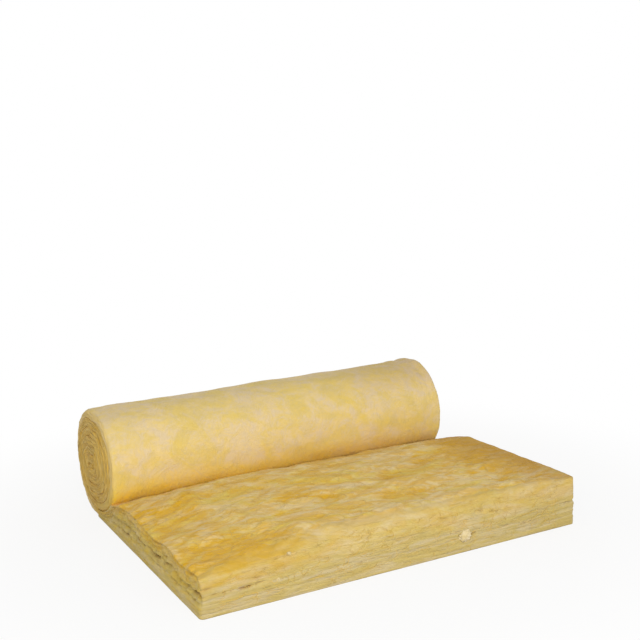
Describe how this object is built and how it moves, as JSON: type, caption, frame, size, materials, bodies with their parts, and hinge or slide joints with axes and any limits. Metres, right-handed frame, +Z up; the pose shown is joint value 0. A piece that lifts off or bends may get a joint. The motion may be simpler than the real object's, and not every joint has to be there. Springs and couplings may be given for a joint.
{
  "type": "part-unrolled mineral wool insulation roll",
  "caption": "One continuous mat of yellow glass wool, wound tightly into a roll with its last stretch run out flat and swollen to full thickness.",
  "frame": {"origin": "middle of the footprint, on the floor", "axes": "+X along the roll and across the mat, -Y towards the mat's cut end, +Z up"},
  "size_m": [1.23, 1.05, 0.35],
  "materials": {
    "glass_wool": "matt fibrous wool, mottled pale gold and yellow"
  },
  "bodies": {
    "root": {"wool_mat": "glass_wool"}
  },
  "joints": []
}
